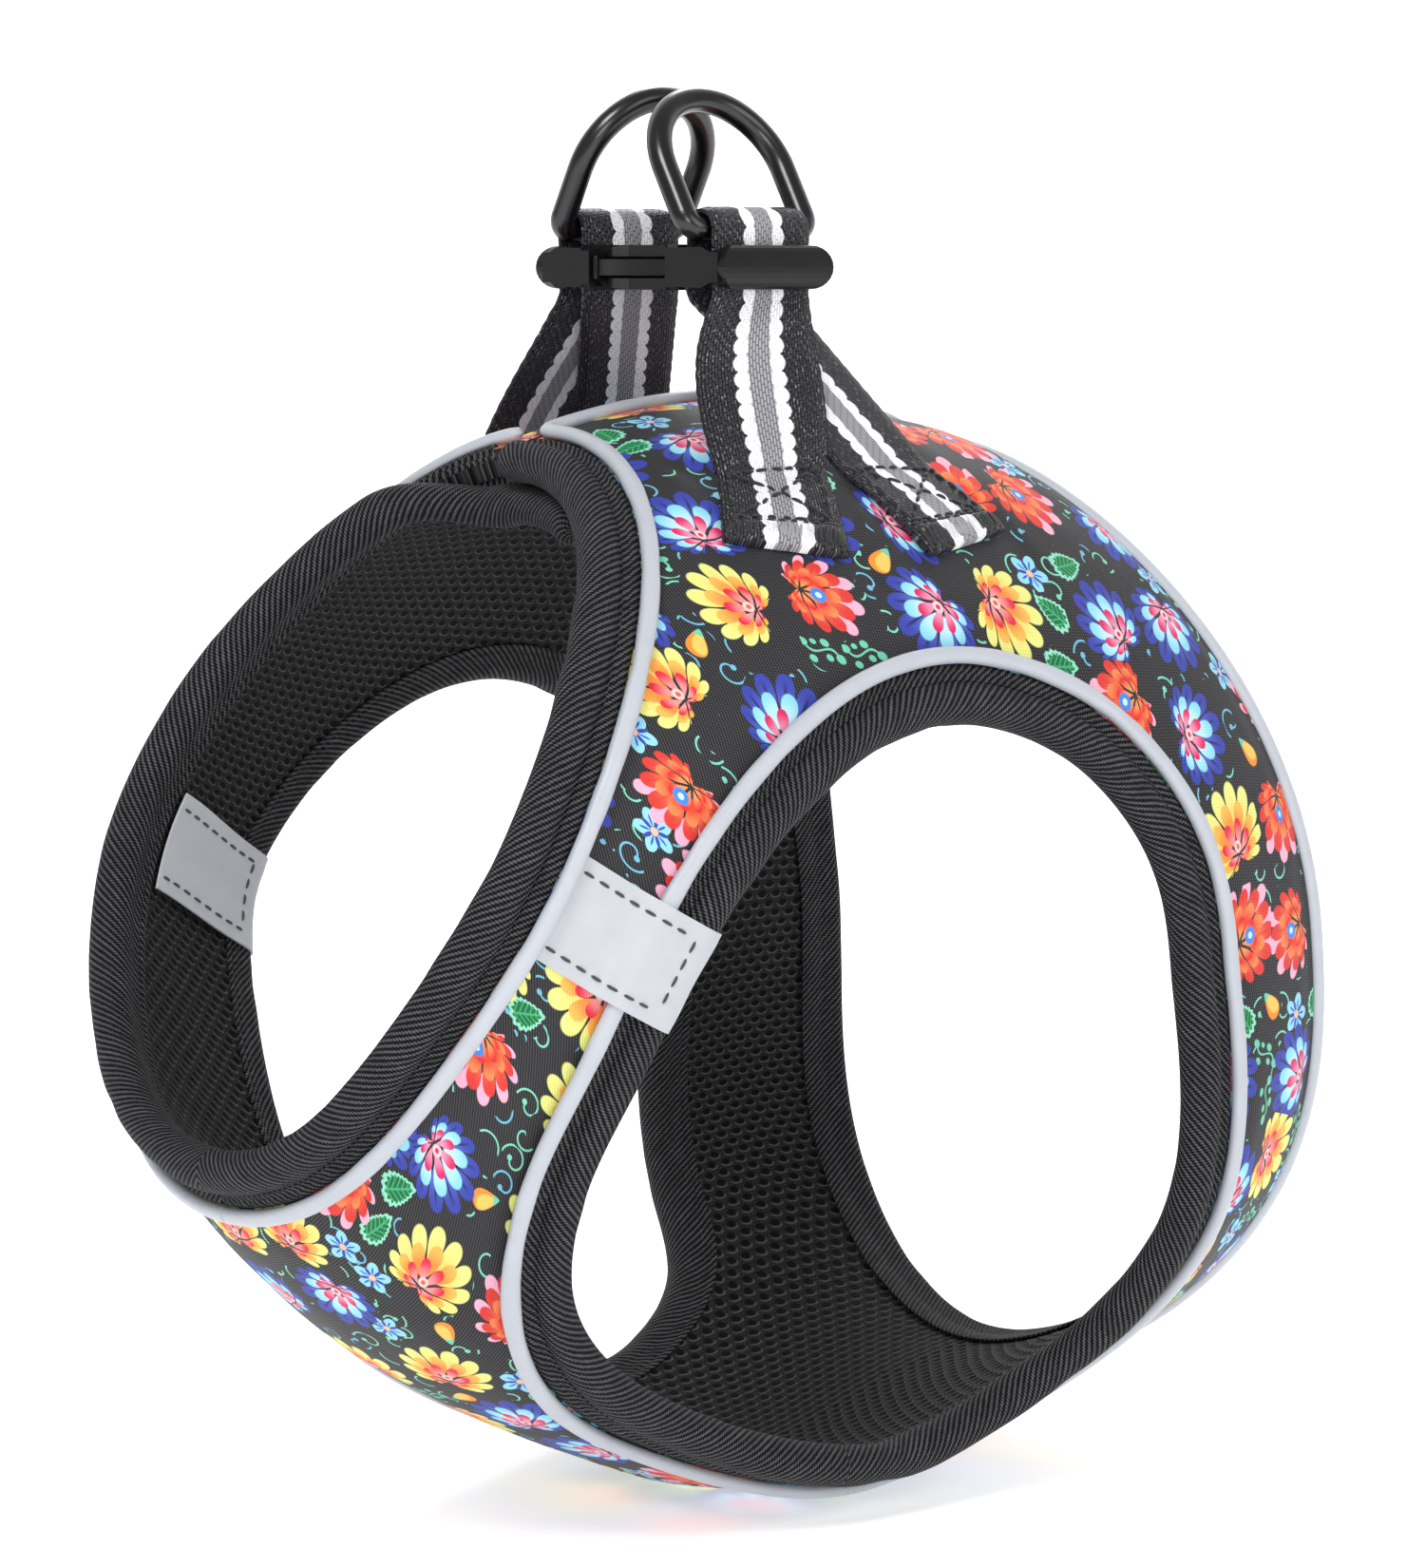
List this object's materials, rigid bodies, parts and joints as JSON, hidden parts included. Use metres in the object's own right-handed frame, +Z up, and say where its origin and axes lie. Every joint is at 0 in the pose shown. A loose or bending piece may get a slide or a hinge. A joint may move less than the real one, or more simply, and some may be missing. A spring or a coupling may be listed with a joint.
{
  "type": "step-in dog harness",
  "caption": "Padded step-in vest harness with leg holes, piped and bound edges, a lapped back closure, striped webbing loops with leash rings and a side-release buckle.",
  "frame": {"origin": "centre of the bounding box in plan, at the lowest point of the belly", "axes": "+X towards the wearer's rear (torso opening), -X towards the neck opening; -Y towards the wearer's left side, +Y its right; +Z up, from belly to back. Y = 0 is the plane of symmetry."},
  "size_m": [0.1858, 0.1332, 0.2236],
  "materials": {
    "printed_fabric": "matte woven polyester with a many-coloured flower print on black",
    "air_mesh": "matte open-cell mesh",
    "reflective_piping": "satin light grey reflective",
    "twill_binding": "matte twill tape over foam",
    "reflective_tape": "satin light grey reflective",
    "striped_webbing": "woven polyester, black with white and grey stripes",
    "underlap_fabric": "matte",
    "hook_tape": "matte nylon hook tape",
    "loop_tape": "matte nylon loop tape",
    "ring_metal": "gloss black paint",
    "buckle_plastic": "satin black moulded"
  },
  "bodies": {
    "chest": {"chest_shell": "printed_fabric", "chest_lining": "air_mesh", "chest_neck_roll": "twill_binding", "chest_neck_piping": "reflective_piping", "chest_left_leg_roll": "twill_binding", "chest_right_leg_roll": "twill_binding", "chest_left_leg_piping": "reflective_piping", "chest_right_leg_piping": "reflective_piping", "chest_rear_binding": "twill_binding", "chest_rear_piping": "reflective_piping"},
    "left_side": {"left_shell": "printed_fabric", "left_lining": "air_mesh", "left_neck_roll": "twill_binding", "left_neck_piping": "reflective_piping", "left_leg_roll": "twill_binding", "left_leg_piping": "reflective_piping", "left_rear_binding": "twill_binding", "left_rear_piping": "reflective_piping", "left_flap_piping": "reflective_piping", "left_reflective_patch": "reflective_tape", "left_webbing": "striped_webbing", "hook_tape": "hook_tape", "buckle_socket": "buckle_plastic"},
    "right_side": {"right_shell": "printed_fabric", "right_lining": "air_mesh", "right_neck_roll": "twill_binding", "right_neck_piping": "reflective_piping", "right_leg_roll": "twill_binding", "right_leg_piping": "reflective_piping", "right_rear_binding": "twill_binding", "right_rear_piping": "reflective_piping", "right_reflective_patch": "reflective_tape", "right_webbing": "striped_webbing", "right_underlap": "underlap_fabric", "loop_tape": "loop_tape", "buckle_plug": "buckle_plastic"},
    "left_ring": {"left_d_ring": "ring_metal"},
    "right_ring": {"right_d_ring": "ring_metal"},
    "front_latch": {"front_latch_arm": "buckle_plastic"},
    "rear_latch": {"rear_latch_arm": "buckle_plastic"}
  },
  "joints": [
    {"name": "left_flank_open", "type": "hinge", "parent": "chest", "child": "left_side", "pos_m": [0.00993, -0.048, 0.01593], "axis": [1, 0, 0], "range_deg": [0, 30]},
    {"name": "right_flank_open", "type": "hinge", "parent": "chest", "child": "right_side", "pos_m": [0.00993, 0.048, 0.01593], "axis": [-1, 0, 0], "range_deg": [0, 30]},
    {"name": "left_ring_swivel", "type": "hinge", "parent": "left_side", "child": "left_ring", "pos_m": [0.00353, -0.015, 0.20123], "axis": [1, 0, 0], "range_deg": [-4, 112]},
    {"name": "right_ring_swivel", "type": "hinge", "parent": "right_side", "child": "right_ring", "pos_m": [0.00353, 0.015, 0.20123], "axis": [-1, 0, 0], "range_deg": [0, 110]},
    {"name": "front_latch_squeeze", "type": "hinge", "parent": "right_side", "child": "front_latch", "pos_m": [-0.00696, 0.0086, 0.19533], "axis": [0, 0, 1], "range_deg": [0, 4]},
    {"name": "rear_latch_squeeze", "type": "hinge", "parent": "right_side", "child": "rear_latch", "pos_m": [0.01423, 0.0086, 0.19533], "axis": [0, 0, -1], "range_deg": [0, 4]}
  ],
  "couplings": [
    {"joint": "right_flank_open", "follows": "left_flank_open", "ratio": 1}
  ]
}
